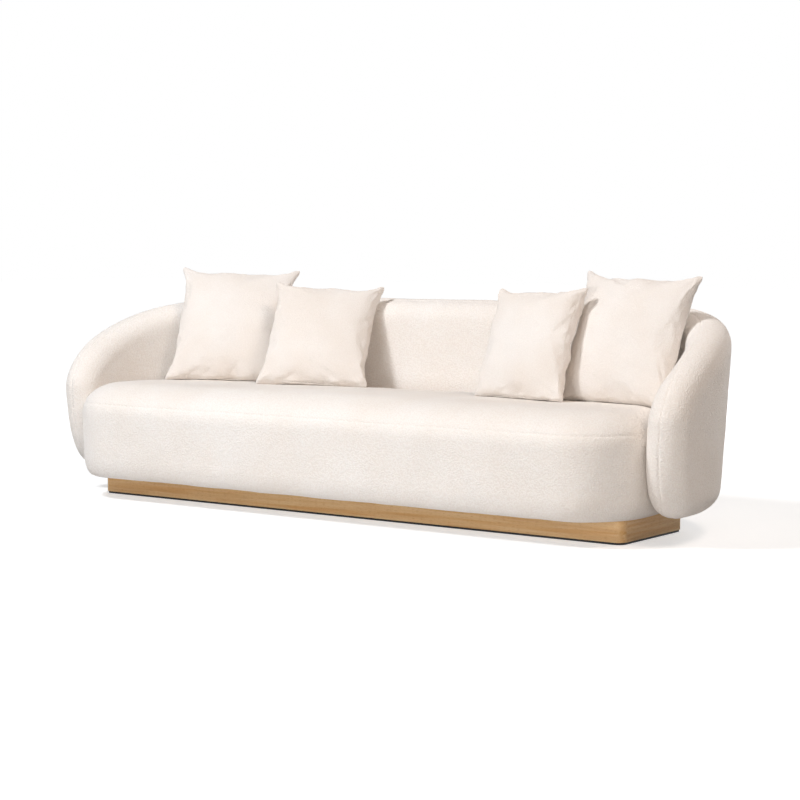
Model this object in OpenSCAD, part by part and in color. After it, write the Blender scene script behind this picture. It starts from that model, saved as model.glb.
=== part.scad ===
// Three-seat sofa on a recessed timber plinth, with a one-piece wrap-round shell for back and arms,
// a thick seat body between the arms and four loose scatter cushions.
// Millimetres. X runs along the sofa, the front faces -Y, Z is up, and the floor is at Z = 0.

/* [Overall] */
// Depth from the front of the seat to the rear of the back
overall_d = 973; // [900:1:1060]
// Height of the underside of the seat body, which is the top of the plinth
underside_h = 90; // [80:1:120]
// Height of the top of the seat, behind its rounded front edge
seat_h = 449; // [430:1:480]

/* [Shell] */
// Distance between the middles of the two arms
arm_span = 2704; // [2500:1:2900]
// Thickness of the padded shell, which is also the diameter of its rounded edge
shell_t = 151; // [130:1:165]
// Radius of the rear corners at the middle of the shell
corner_r = 556; // [480:1:600]
// Height of the crown that the top edge falls away from
crown_h = 789; // [740:1:840]
// Distance from the middle of the back to the crown, behind it
crown_back = 143; // [100:1:220]
// Height of the foremost point of the arms
tip_h = 419; // [380:1:450]
// Distance from the front of the seat back to the tips of the arms
arm_setback = 159; // [120:1:200]
// Height of the lower edge of the shell
hem_h = 92; // [82:1:110]
// Length over which the lower edge rises to the tip of the arm
hem_run = 154; // [120:1:200]
// Power of the curve of the top edge, where 2 is an ellipse
top_power = 1.82; // [1.6:0.02:2.4]
// Power of the curve of the lower edge, where 2 is an ellipse
hem_power = 2.56; // [2:0.02:3]
// Outward lean of the shell, in millimetres per millimetre of height
lean = 0.062; // [0:0.002:0.08]
// Height at which the shell stands at its nominal plan
lean_h = 400; // [350:1:450]
// Thickness of the bent plywood core
core_t = 24; // [18:1:30]
// Distance from the edge of the shell in to the edge of the core
core_inset = 42; // [34:1:55]

/* [Seat] */
// Radius of the front corners of the seat
seat_corner_r = 240; // [210:1:260]
// Clearance between the seat and the inside of the shell
seat_gap = 1; // [0.5:0.1:3]
// Height of the seam round the top panel
seam_h = 374; // [360:1:400]
// Height of the rounding at the seat's top edge
top_round_h = 116; // [90:1:130]
// Width of the rounding at the seat's top edge
top_round_w = 165; // [130:1:180]
// Height of the rounding at the seat's bottom edge
low_round_h = 75; // [50:1:85]
// How far the bottom edge tucks in
low_tuck = 29; // [15:1:40]
// Fall of the top towards the back, in millimetres per millimetre
seat_fall = 0.027; // [0:0.001:0.05]
// Thickness of the cover cloth
cover_t = 1.5; // [1:0.1:3]
// Clearance between the layers of the upholstery
layer_gap = 0.3; // [0.2:0.1:0.6]

/* [Deck] */
// Distance from the seat's outline in to the timber frame
deck_inset = 90; // [70:1:110]
// Thickness of the frame rails
rail_t = 25; // [20:1:30]
// Height of the frame rails
rail_h = 98; // [80:1:110]
// How far the frame stands back from the foam round it
frame_gap = 2; // [1.5:0.1:4]
// Height of the noggins between the end bearers and the side rails
noggin_h = 60; // [45:1:80]
// Width of a noggin
noggin_w = 28; // [20:1:32]
// Clearance between a noggin and the washer of a tie rod
nut_room = 3; // [2:0.5:5]
// Width of the bearers
bearer_w = 40; // [30:1:50]
// Spacing of the bearers
bearer_pitch = 360; // [300:1:380]
// Width of a webbing strap
strap_w = 50; // [40:1:60]
// Thickness of a webbing strap
strap_t = 2; // [1.5:0.1:3]
// Spacing of the straps that run along the sofa
strap_pitch = 100; // [80:1:120]

/* [Plinth] */
// Distance from the middle of an arm in to the end of the plinth
plinth_end_inset = 152; // [110:1:220]
// Width of the plinth, from front to rear
plinth_w = 432; // [380:1:520]
// Distance from the front of the seat back to the front of the plinth
plinth_setback = 181; // [150:1:210]
// Thickness of the plinth boards
board_t = 22; // [18:1:28]
// Radius of the plinth's corner posts
post_r = 35; // [30:1:45]
// Width of the cross rails inside the plinth
cross_w = 45; // [38:1:60]
// Leg of the glue blocks
block_leg = 45; // [30:1:60]
// Height of the black runner that the plinth stands on, all round
runner_h = 8; // [5:1:15]
// Width of the runner
runner_w = 14; // [10:1:18]
// Distance from the face of the plinth in to the runner
runner_inset = 4; // [2:1:6]

/* [Fixings] */
// Diameter of the bolts and tie rods
bolt_d = 8; // [6:1:10]
// Clearance round a bolt or screw in its bore, on the radius
bore_gap = 0.2; // [0.1:0.1:0.5]
// Distance between the two bolts of a cross rail
bolt_pitch = 240; // [180:1:280]
// Depth of the counterbore for a bolt head
head_depth = 40; // [30:1:50]
// How far a bolt goes into a bearer
bolt_bite = 60; // [40:1:80]
// Clearance round a washer in its counterbore, on the radius
washer_room = 1; // [0.5:0.1:2]
// Diameter of the runner screws
screw_d = 4; // [3:0.5:5]
// How far a runner screw goes into a board
screw_bite = 34; // [20:1:40]
// Spacing of the runner screws
screw_pitch = 660; // [500:1:720]
// Height of the tie rods that hold the shell to the seat frame
rod_h = 155; // [148:1:175]
// Spacing of the tie rods along the back
rod_pitch = 400; // [300:1:480]
// How far a tie rod stands out of its nut
rod_spare = 4; // [2:0.5:8]
// How far the head of a runner screw is sunk into the runner
sink = 1; // [0.5:0.1:2]

/* [Cushions] */
// Side of the large cushion on the left
large_side = 508; // [450:1:550]
// Side of the large cushion on the right, whose cloth is drawn in more
soft_side = 498; // [450:1:540]
// Side of the small cushion on the left
small_side = 456; // [400:1:480]
// Side of the small cushion on the right, whose cloth is drawn in more
narrow_side = 426; // [390:1:470]
// Thickness of a large cushion at its middle
large_t = 150; // [110:1:160]
// Thickness of a small cushion at its middle
small_t = 130; // [100:1:140]
// How far the sides of a cushion pull in, as a share of half its side
side_pull = 0.05; // [0:0.01:0.1]
// Thickness of a cushion's knife edge
knife_t = 5; // [4:0.5:8]
// Power of the cushion's crown
crown_power = 0.42; // [0.35:0.01:0.6]
// Clearance under a cushion and inside its cover
cushion_gap = 0.3; // [0.2:0.1:1]
// Length of the closure in a cushion's lower edge
zip_l = 220; // [150:1:260]
// Width of the closure
zip_w = 3; // [2:0.5:4]
// Height of the closure
zip_h = 2.5; // [2:0.5:4]

/* [Hidden] */
$fn = 48;
// how far a cut runs past the face that it opens
past = 1;

oak = [0.80, 0.63, 0.42];
timber = [0.87, 0.78, 0.62];
cloth = [0.94, 0.92, 0.89];
foam = [0.95, 0.90, 0.72];
steel = [0.70, 0.71, 0.73];
black = [0.10, 0.10, 0.11];

// ---- plan of the shell: straight back, two round corners, straight arms ----
edge_r = shell_t / 2;
half_span = arm_span / 2;
// height of the top of the back, which the depth is measured at
back_share = crown_back / (overall_d - edge_r - arm_setback + crown_back);
back_h = tip_h + (crown_h - tip_h) * superellipse(back_share, top_power);
back_y = overall_d / 2 - edge_r - lean * (back_h - edge_r - lean_h);
front_y = -overall_d / 2;
tip_y = front_y + arm_setback;
crown_y = back_y + crown_back;
hem_y = tip_y + hem_run;
straight_x = half_span - corner_r;
arc_len = corner_r * PI / 2;
path_len = straight_x + arc_len + back_y - corner_r - tip_y;
columns = 26;

function clamp01(v) = max(0, min(1, v));
function turn(s) = min(90, max(0, abs(s) - straight_x) / corner_r * 180 / PI);
function path_x(s) = sign(s) * (min(abs(s), straight_x) + corner_r * sin(turn(s)));
function path_y(s) = back_y - corner_r + corner_r * cos(turn(s)) - max(0, abs(s) - straight_x - arc_len);
function path_out(s) = [sign(s) * sin(turn(s)), cos(turn(s))];
function column_s(i) = path_len * sin(90 * i / columns);
function superellipse(u, power) = pow(max(0, 1 - pow(u, power)), 1 / power);
function top_edge(s) =
    tip_h + (crown_h - tip_h) * superellipse(clamp01((crown_y - path_y(s)) / (crown_y - tip_y)), top_power);
function hem_edge(s) =
    tip_h - (tip_h - hem_h) * superellipse(clamp01((hem_y - path_y(s)) / (hem_y - tip_y)), hem_power);
// a point at s along the plan, off millimetres outside the middle of the shell, at height z
function shell_point(s, off, z) =
    let (reach = off + lean * (z - lean_h), out = path_out(s))
    [path_x(s) + out.x * reach, path_y(s) + out.y * reach, z];

// closed edge of the shell as [s, z]: along the top from left to right, back along the bottom
shell_edge = concat(
    [for (i = [-columns : columns]) [column_s(i), top_edge(column_s(i))]],
    [for (i = [columns - 1 : -1 : 1 - columns]) [column_s(i), hem_edge(column_s(i))]]
);
edge_n = len(shell_edge);
function edge_out(k) =
    let (t = shell_edge[(k + 1) % edge_n] - shell_edge[(k + edge_n - 1) % edge_n])
    [-t.y, t.x] / norm(t);
edge_normals = [for (k = [0 : edge_n - 1]) edge_out(k)];
// one loop round the shell, inset millimetres in from its edge and off millimetres outside its middle
function shell_loop(inset, off) = [
    for (k = [0 : edge_n - 1])
        let (p = shell_edge[k] - inset * edge_normals[k])
        shell_point(p.x, off, p.y)
];
// the rounded edge of radius r, from the inner face at 0 to the outer face at 180 degrees
function round_edge(a, r) = [edge_r - r * sin(a), -r * cos(a)];

function quad(a, b, c, d) = [[a, b, c], [a, c, d]];
function flatten(lists) = [for (l = lists) for (e = l) e];
function reversed(list) = [for (i = [len(list) - 1 : -1 : 0]) list[i]];
function flipped(faces) = [for (f = faces) reversed(f)];
// a quad that is split along its shorter diagonal, so that layers that lie on each other split alike
function short_quad(a, b, c, d, points) =
    norm(points[a] - points[c]) < norm(points[b] - points[d]) ? quad(a, b, c, d) : quad(b, c, d, a);
function band_faces(row, next, n, points) = flatten([
    for (k = [0 : n - 1])
        short_quad(row * n + k, next * n + k, next * n + (k + 1) % n, row * n + (k + 1) % n, points)
]);
// a loop of n points is closed by strips between its two halves, which meet at points 0 and n / 2
function partner(j, n) = j == 0 || j == n / 2 ? j : n - j;
function sheet_faces(first, n) = [
    for (j = [0 : n / 2 - 1])
        for (f = quad(j, j + 1, partner(j + 1, n), partner(j, n)))
            if (f[0] != f[1] && f[1] != f[2] && f[2] != f[0]) [first + f[0], first + f[1], first + f[2]]
];
function fan_faces(first, n, hub) = [for (k = [0 : n - 1]) [first + k, first + (k + 1) % n, hub]];
function middle(loop) = [for (axis = [0 : 2]) let (c = [for (p = loop) p[axis]]) (min(c) + max(c)) / 2];
// a solid skinned over loops of points. Its ends are a "sheet" between the two halves of a loop or
// a "fan" round the loop's middle, or its last loop joins its first as a "ring"
module lofted(loops, ends) {
    n = len(loops[0]);
    last = (len(loops) - 1) * n;
    points = flatten(loops);
    bands = flatten([for (r = [0 : len(loops) - 2]) band_faces(r, r + 1, n, points)]);
    closing = ends == "ring" ? band_faces(len(loops) - 1, 0, n, points)
        : ends == "sheet" ? concat(sheet_faces(0, n), flipped(sheet_faces(last, n)))
        : concat(fan_faces(0, n, last + n), flipped(fan_faces(last, n, last + n + 1)));
    hubs = ends == "fan" ? [middle(loops[0]), middle(loops[len(loops) - 1])] : [];
    polyhedron(points = concat(points, hubs), faces = concat(bands, closing), convexity = 6);
}
// a solid of the shell, skinned over [inset, off] loops from its inner side to its outer side
module shell_layer(loops) {
    lofted([for (l = loops) shell_loop(l[0], l[1])], "sheet");
}

// ---- plan of the seat: the inside of the shell, then a round front corner and a straight front ----
seat_off = -(edge_r + seat_gap);
seat_side_y = front_y + seat_corner_r;
seat_side_x = half_span + seat_off;
corner_steps = 7;
// points of the plan are at least this far from the start of a front corner
least_step = 5;
// each entry is a point, its outward direction and how much it follows the lean of the shell
right_plan = concat(
    [for (i = [0 : columns]) let (s = column_s(i))
        if (path_y(s) > seat_side_y + least_step)
            [path_x(s) + path_out(s).x * seat_off, path_y(s) + path_out(s).y * seat_off,
             path_out(s).x, path_out(s).y, 1]],
    [for (i = [0 : corner_steps]) let (a = -90 * i / corner_steps)
        [seat_side_x - seat_corner_r + seat_corner_r * cos(a), seat_side_y + seat_corner_r * sin(a),
         cos(a), sin(a), cos(a) * cos(a)]],
    [[0, front_y, 0, -1, 0]]
);
plan_n = 2 * len(right_plan) - 2;
seat_plan = concat(
    right_plan,
    [for (i = [len(right_plan) - 2 : -1 : 1]) let (p = right_plan[i]) [-p[0], p[1], -p[2], p[3], p[4]]]
);
// the seat above its seam falls towards the back, behind its rounded front edge
function fall_at(y, z) =
    seat_fall * max(0, y - front_y - top_round_w) * clamp01((z - seam_h) / (seat_h - seam_h));
function seat_loop(inset, z, leaning) = [
    for (p = seat_plan)
        let (shift = (leaning ? lean * (z - lean_h) * p[4] : 0) - inset, y = p[1] + p[3] * shift)
        [p[0] + p[2] * shift, y, z - fall_at(y, z)]
];
function seat_outline(inset, z, leaning) = [for (p = seat_loop(inset, z, leaning)) [p.x, p.y]];
round_base_h = seat_h - top_round_h;
seam_a = asin((seam_h - round_base_h) / top_round_h);
// the rounded edges of the seat, depth millimetres under its surface
function low_edge(a, depth) = [
    low_tuck * (1 - sin(a)) + depth * sin(a),
    underside_h + low_round_h * (1 - cos(a)) + depth * cos(a),
    true
];
function high_edge(a, depth) = [
    top_round_w * (1 - cos(a)) + depth * cos(a),
    round_base_h + (top_round_h - depth) * sin(a),
    true
];
// height of the top of the seat under a point that lies between the arms and the back
function seat_top(x, y) =
    let (
        dx = abs(x) - straight_x, dy = y - back_y + corner_r,
        depth = dx < 0 ? back_y - y : dy < 0 ? half_span - abs(x) : corner_r - norm([dx, dy]),
        inset = min(top_round_w, max(0, depth + seat_off + lean * (seat_h - lean_h))),
        z = round_base_h + top_round_h * sin(acos(1 - inset / top_round_w))
    )
    z - fall_at(y, z);

// a solid of the seat, skinned over [inset, height, leaning] loops from its bottom upwards
module seat_layer(loops, ends = "fan") {
    lofted(reversed([for (l = loops) seat_loop(l[0], l[1], l[2])]), ends);
}

// ---- levels and lines of the frame ----
deck_base_h = underside_h + cover_t;
deck_top_h = deck_base_h + rail_h;
foam_base_h = deck_top_h + 2 * strap_t;
deck_front_y = front_y + deck_inset;
deck_rear_y = back_y + seat_off - deck_inset;
deck_side_x = seat_side_x - deck_inset;
front_corner_r = seat_corner_r - deck_inset;
rear_corner_r = corner_r + seat_off - deck_inset;
front_block_x = deck_side_x - front_corner_r;
front_block_y = deck_front_y + front_corner_r;
rear_block_y = back_y - corner_r;
bearer_count = 5;
bearer_xs = [for (i = [0 : bearer_count - 1]) (i - (bearer_count - 1) / 2) * bearer_pitch];
bay_x = bearer_xs[bearer_count - 1] + bearer_w / 2;

plinth_l = arm_span - 2 * plinth_end_inset;
plinth_y = front_y + plinth_setback + plinth_w / 2;
board_h = underside_h - runner_h;
bolt_r = bolt_d / 2;
bolt_bore_r = bolt_r + bore_gap;
// heads and washers in proportion to their bolts and screws
head_r = bolt_d * 0.94;
head_h = bolt_d * 0.66;
washer_r = bolt_d * 1.25;
washer_t = bolt_d * 0.2;
counterbore_r = washer_r + washer_room;
bolt_spots = [for (x = bearer_xs) for (side = [-1, 1]) [x, plinth_y + side * bolt_pitch / 2]];
screw_spots = [
    for (i = [-1.5 : 1 : 1.5]) for (side = [-1, 1])
        [i * screw_pitch, plinth_y + side * (plinth_w / 2 - runner_inset - runner_w / 2)]
];
screw_head_h = screw_d * 0.6;
screw_head_r = screw_d;

// ---- plinth ----
module at(spots, z) {
    for (p = spots) translate([p.x, p.y, z]) children();
}
// the plan of the plinth, drawn in by inset all round
module plinth_plan(inset) {
    l = plinth_l - 2 * inset;
    w = plinth_w - 2 * inset;
    r = post_r - inset;
    square([l, w - 2 * r], center = true);
    square([l - 2 * r, w], center = true);
    for (sx = [-1, 1]) for (sy = [-1, 1]) translate([sx * (l / 2 - r), sy * (w / 2 - r)]) circle(r = r);
}
module floor_runner() {
    color(black) difference() {
        translate([0, plinth_y, 0]) linear_extrude(runner_h) difference() {
            plinth_plan(runner_inset);
            plinth_plan(runner_inset + runner_w);
        }
        at(screw_spots, -past) cylinder(r = screw_d / 2 + bore_gap, h = runner_h + 2 * past);
        at(screw_spots, -past)
            cylinder(r = screw_head_r + bore_gap, h = past + sink + screw_head_h + bore_gap);
    }
}
module runner_screws() {
    color(steel) at(screw_spots, sink) {
        cylinder(r = screw_head_r, h = screw_head_h);
        cylinder(r = screw_d / 2, h = runner_h - sink + screw_bite);
    }
}
module long_board(side) {
    middle_y = plinth_y + side * (plinth_w - board_t) / 2;
    color(oak) difference() {
        translate([-plinth_l / 2 + post_r, middle_y - board_t / 2, runner_h])
            cube([plinth_l - 2 * post_r, board_t, board_h]);
        at(screw_spots, runner_h - past)
            cylinder(r = screw_d / 2 + bore_gap, h = screw_bite + past + bore_gap);
    }
}
module short_board(side) {
    middle_x = side * (plinth_l - board_t) / 2;
    color(oak)
        translate([middle_x - board_t / 2, plinth_y - plinth_w / 2 + post_r, runner_h])
            cube([board_t, plinth_w - 2 * post_r, board_h]);
}
module plinth_front_board() {
    long_board(-1);
}
module plinth_rear_board() {
    long_board(1);
}
module plinth_left_board() {
    short_board(-1);
}
module plinth_right_board() {
    short_board(1);
}
module plinth_corners() {
    for (mx = [0, 1]) mirror([mx, 0, 0])
        translate([plinth_l / 2, plinth_y, 0])
            for (my = [0, 1]) mirror([0, my, 0]) translate([0, plinth_w / 2, 0]) children();
}
module plinth_corner_posts() {
    color(oak) plinth_corners() translate([-post_r, -post_r, runner_h])
        intersection() {
            cylinder(r = post_r, h = board_h, $fn = 64);
            cube([post_r, post_r, board_h]);
        }
}
module plinth_glue_blocks() {
    back = board_t;
    color(timber) plinth_corners() translate([0, 0, runner_h])
        linear_extrude(board_h)
            polygon([
                [-post_r - block_leg, -back], [-post_r, -back], [-post_r, -post_r],
                [-back, -post_r], [-back, -post_r - block_leg]
            ]);
}
module plinth_cross_rails() {
    color(timber) difference() {
        for (x = bearer_xs)
            translate([x - cross_w / 2, plinth_y - plinth_w / 2 + board_t, runner_h])
                cube([cross_w, plinth_w - 2 * board_t, board_h]);
        at(bolt_spots, 0) cylinder(r = bolt_bore_r, h = underside_h + past);
        at(bolt_spots, 0) cylinder(r = counterbore_r, h = runner_h + head_depth);
    }
}
module plinth_washers() {
    color(steel) at(bolt_spots, runner_h + head_depth - washer_t)
        difference() {
            cylinder(r = washer_r, h = washer_t);
            translate([0, 0, -past]) cylinder(r = bolt_bore_r, h = washer_t + 2 * past);
        }
}
module plinth_bolts() {
    seat_z = runner_h + head_depth - washer_t;
    color(steel) at(bolt_spots, seat_z) {
        translate([0, 0, -head_h]) cylinder(r = head_r, h = head_h, $fn = 6);
        cylinder(r = bolt_r, h = deck_base_h + bolt_bite - seat_z);
    }
}

// ---- timber seat frame ----
module dust_cover() {
    color(black) difference() {
        translate([0, 0, underside_h]) linear_extrude(cover_t)
            polygon(seat_outline(low_tuck + 2 * cover_t, underside_h, true));
        at(bolt_spots, 0) cylinder(r = bolt_bore_r, h = deck_base_h + past);
    }
}
module rod_bores() {
    tie_rod_places() translate([0, 0, -past]) cylinder(r = bolt_bore_r, h = rod_len + 2 * past);
}
module deck_front_rail() {
    color(timber)
        translate([-front_block_x, deck_front_y + frame_gap, deck_base_h])
            cube([2 * front_block_x, rail_t - frame_gap, rail_h]);
}
module deck_rear_rail() {
    color(timber) difference() {
        translate([-straight_x, deck_rear_y - rail_t, deck_base_h])
            cube([2 * straight_x, rail_t - frame_gap, rail_h]);
        rod_bores();
    }
}
module side_rail(side) {
    t = rail_t - frame_gap;
    color(timber) difference() {
        translate([side * (deck_side_x - rail_t + t / 2) - t / 2, front_block_y, deck_base_h])
            cube([t, rear_block_y - front_block_y, rail_h]);
        rod_bores();
    }
}
module deck_left_rail() {
    side_rail(-1);
}
module deck_right_rail() {
    side_rail(1);
}
// a block that is sawn to follow a corner of radius r
module quarter_block(r) {
    difference() {
        intersection() {
            cylinder(r = r - frame_gap, h = rail_h, $fn = 96);
            cube([r, r, rail_h]);
        }
        translate([0, 0, -past]) cylinder(r = r - rail_t, h = rail_h + 2 * past, $fn = 96);
    }
}
module deck_front_corner_blocks() {
    color(timber) for (mx = [0, 1]) mirror([mx, 0, 0])
        translate([front_block_x, front_block_y, deck_base_h])
            mirror([0, 1, 0]) quarter_block(front_corner_r);
}
module deck_rear_corner_blocks() {
    color(timber) for (mx = [0, 1]) mirror([mx, 0, 0])
        translate([straight_x, rear_block_y, deck_base_h]) quarter_block(rear_corner_r);
}
module deck_bearers() {
    front = deck_front_y + rail_t;
    bearer_l = deck_rear_y - rail_t - front;
    color(timber) difference() {
        for (x = bearer_xs)
            translate([x - bearer_w / 2, front, deck_base_h]) cube([bearer_w, bearer_l, rail_h]);
        at(bolt_spots, deck_base_h - past) cylinder(r = bolt_bore_r, h = bolt_bite + past + bore_gap);
    }
}
// a pair of noggins at each end, either side of a tie rod, whose ends follow the inside of the frame
module deck_noggins() {
    reach = deck_side_x - bay_x;
    mid_y = (front_block_y + rear_block_y) / 2;
    rod_side = washer_r + nut_room;
    color(timber) intersection() {
        for (mx = [0, 1]) mirror([mx, 0, 0])
            for (y = [mid_y - rod_side - noggin_w, mid_y + rod_side])
                translate([bay_x, y, deck_top_h - noggin_h]) cube([reach, noggin_w, noggin_h]);
        linear_extrude(deck_top_h) polygon(seat_outline(deck_inset + rail_t, 0, false));
    }
}
strap_front_y = deck_front_y + rail_t / 2;
strap_rear_y = deck_rear_y - rail_t / 2;
module webbing_crosswise() {
    color(black) for (i = [0 : bearer_count - 2]) for (share = [1 / 3, 2 / 3])
        translate([bearer_xs[i] + share * bearer_pitch - strap_w / 2, strap_front_y, deck_top_h])
            cube([strap_w, strap_rear_y - strap_front_y, strap_t]);
}
module webbing_lengthwise() {
    mid_y = (strap_front_y + strap_rear_y) / 2;
    color(black) for (i = [-2 : 2])
        translate([-bay_x, mid_y + i * strap_pitch - strap_w / 2, deck_top_h + strap_t])
            cube([2 * bay_x, strap_w, strap_t]);
}
module deck_end_boards() {
    color(timber) translate([0, 0, deck_top_h]) linear_extrude(2 * strap_t)
        for (mx = [0, 1]) mirror([mx, 0, 0])
            intersection() {
                polygon(seat_outline(deck_inset, 0, false));
                translate([bay_x, -overall_d]) square([half_span, 2 * overall_d]);
            }
}

// ---- seat upholstery ----
foam_depth = cover_t + layer_gap;
foam_depth_h = underside_h + foam_depth;
low_angles = [0, 30, 60, 90];
high_steps = 8;
high_angles = [for (i = [0 : high_steps]) seam_a + i / high_steps * (90 - seam_a)];
module deck_edge_foam() {
    color(foam) seat_layer(concat(
        [for (a = low_angles) low_edge(a, foam_depth)],
        [
            [foam_depth, foam_base_h, true],
            [deck_inset, foam_base_h, false],
            [deck_inset, foam_depth_h, false]
        ]
    ), "ring");
}
module seat_foam() {
    color(foam) seat_layer(concat(
        [[foam_depth, foam_base_h, true], high_edge(0, foam_depth)],
        [for (a = high_angles) high_edge(a, foam_depth)]
    ));
}
module seat_cover_top() {
    color(cloth) seat_layer(concat(
        [for (a = reversed(high_angles)) high_edge(a, cover_t)],
        [for (a = high_angles) high_edge(a, 0)]
    ));
}
module seat_cover_band() {
    color(cloth) seat_layer(concat(
        [for (a = low_angles) low_edge(a, 0)],
        [[0, foam_base_h, true], high_edge(0, 0), high_edge(seam_a, 0)],
        [high_edge(seam_a, cover_t), high_edge(0, cover_t), [cover_t, foam_base_h, true]],
        [for (a = reversed(low_angles)) low_edge(a, cover_t)]
    ), "ring");
}

// ---- shell ----
round_angles = [0, 30, 60, 90];
module shell_core() {
    color(timber) shell_layer([[core_inset, -core_t / 2], [core_inset, core_t / 2]]);
}
// the rounded edge of one layer, on the inner (-1) or the outer (1) side of the seam
function side_edge(a, r, side) = let (p = round_edge(a, r)) [p.x, side * max(abs(p.y), layer_gap / 2)];
module foam_half(side) {
    r = edge_r - foam_depth;
    pocket = core_inset - layer_gap;
    loops = concat(
        [for (a = round_angles) side_edge(side < 0 ? a : 180 - a, r, side)],
        [[pocket, side * layer_gap / 2], [pocket, side * (core_t / 2 + layer_gap)]]
    );
    shell_layer(side < 0 ? loops : reversed(loops));
}
module cover_half(side) {
    loops = concat(
        [for (a = round_angles) side_edge(side < 0 ? a : 180 - a, edge_r, side)],
        [for (a = reversed(round_angles)) side_edge(side < 0 ? a : 180 - a, edge_r - cover_t, side)]
    );
    shell_layer(side < 0 ? loops : reversed(loops));
}
module shell_foam_inside() {
    color(foam) foam_half(-1);
}
module shell_foam_outside() {
    color(foam) foam_half(1);
}
module shell_cover_inside() {
    color(cloth) cover_half(-1);
}
module shell_cover_outside() {
    color(cloth) cover_half(1);
}

// ---- tie rods from the core of the shell to the seat frame ----
rod_reach = deck_inset + seat_gap + edge_r;
rod_tail = rail_t + washer_t + head_h + rod_spare;
rod_len = rod_reach + rod_tail;
rod_drop = lean * (rod_h - lean_h);
module tie_rod_places() {
    for (i = [-1.5 : 1 : 1.5])
        translate([i * rod_pitch, deck_rear_y - rod_tail, rod_h]) rotate([-90, 0, 0]) children();
    for (mx = [0, 1]) mirror([mx, 0, 0])
        translate([deck_side_x - rod_tail, (front_block_y + rear_block_y) / 2, rod_h])
            rotate([0, 90, 0]) children();
}
module tie_rods() {
    color(steel) tie_rod_places() cylinder(r = bolt_r, h = rod_len + rod_drop);
}
module tie_rod_nuts() {
    washer_z = rod_tail - rail_t - washer_t;
    color(steel) tie_rod_places() difference() {
        union() {
            translate([0, 0, washer_z]) cylinder(r = washer_r, h = washer_t);
            translate([0, 0, washer_z - head_h]) cylinder(r = head_r, h = head_h, $fn = 6);
        }
        translate([0, 0, -past]) cylinder(r = bolt_r + bore_gap / 2, h = rod_len);
    }
}

// ---- scatter cushions ----
// each cushion is set out from the middle of the round corner inside the shell, on its own side:
// [side of the sofa, distance in, distance forward, side, thickness, turn, lean back and roll in degrees]
corner_x = straight_x + (corner_r - edge_r) * cos(45);
corner_y = back_y - corner_r + (corner_r - edge_r) * sin(45);
left_large = [-1, 206, -4, large_side, large_t, 24.5, 26.5, -1.4];
left_small = [-1, 684, 16, small_side, small_t, 23.5, 31, -2.7];
right_small = [1, 509, 158, narrow_side, small_t, -10, 21, 2.1];
right_large = [1, 151, 84, soft_side, large_t, -5, 21, -1.7];
function cushion_x(c) = c[0] * (corner_x - c[1]);
function cushion_y(c) = corner_y - c[2];
grid = 8;
function grid_at(i) = sin(90 * (2 * i / grid - 1));
// a crowned square: its sides pull in between the corners and its edge is a thin strip
function cushion_point(u, v, side, thick, face) = [
    side / 2 * u * (1 - side_pull * (1 - v * v)),
    face * (knife_t / 2 + (thick - knife_t) / 2 * pow((1 - u * u) * (1 - v * v), crown_power)),
    side / 2 * v * (1 - side_pull * (1 - u * u))
];
function cushion_points(side, thick) = flatten([
    for (face = [-1, 1]) flatten([
        for (j = [0 : grid]) [for (i = [0 : grid]) cushion_point(grid_at(i), grid_at(j), side, thick, face)]
    ])
]);
function cell(i, j) = j * (grid + 1) + i;
module cushion_body(side, thick) {
    back = (grid + 1) * (grid + 1);
    rim = concat(
        [for (i = [0 : grid - 1]) cell(i, 0)], [for (j = [0 : grid - 1]) cell(grid, j)],
        [for (i = [grid : -1 : 1]) cell(i, grid)], [for (j = [grid : -1 : 1]) cell(0, j)]
    );
    faces = flatten([
        for (j = [0 : grid - 1]) flatten([
            for (i = [0 : grid - 1]) quad(cell(i, j), cell(i, j + 1), cell(i + 1, j + 1), cell(i + 1, j))
        ])
    ]);
    rim_n = len(rim);
    polyhedron(
        points = cushion_points(side, thick),
        faces = concat(
            faces,
            [for (f = flipped(faces)) [for (c = f) c + back]],
            flatten([
                for (k = [0 : rim_n - 1])
                    let (next = rim[(k + 1) % rim_n]) quad(rim[k], next, next + back, rim[k] + back)
            ])
        ),
        convexity = 4
    );
}
// a cushion's own point p, rolled, leaned back and turned
function turned(p, c) =
    let (
        x = p.x * cos(c[7]) - p.z * sin(c[7]), up = p.x * sin(c[7]) + p.z * cos(c[7]),
        y = p.y * cos(c[6]) + up * sin(c[6]), z = up * cos(c[6]) - p.y * sin(c[6])
    )
    [x * cos(c[5]) - y * sin(c[5]), x * sin(c[5]) + y * cos(c[5]), z];
// height of the underside of a closure, which lies just under the lower edge of its cushion
function zip_base(c) =
    let (share = zip_l / c[3]) -c[3] / 2 * (1 - side_pull * (1 - share * share)) - cushion_gap - zip_h;
function zip_corners(c) = [for (x = [-1, 1]) for (y = [-1, 1]) [x * zip_l / 2, y * zip_w / 2, zip_base(c)]];
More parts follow.
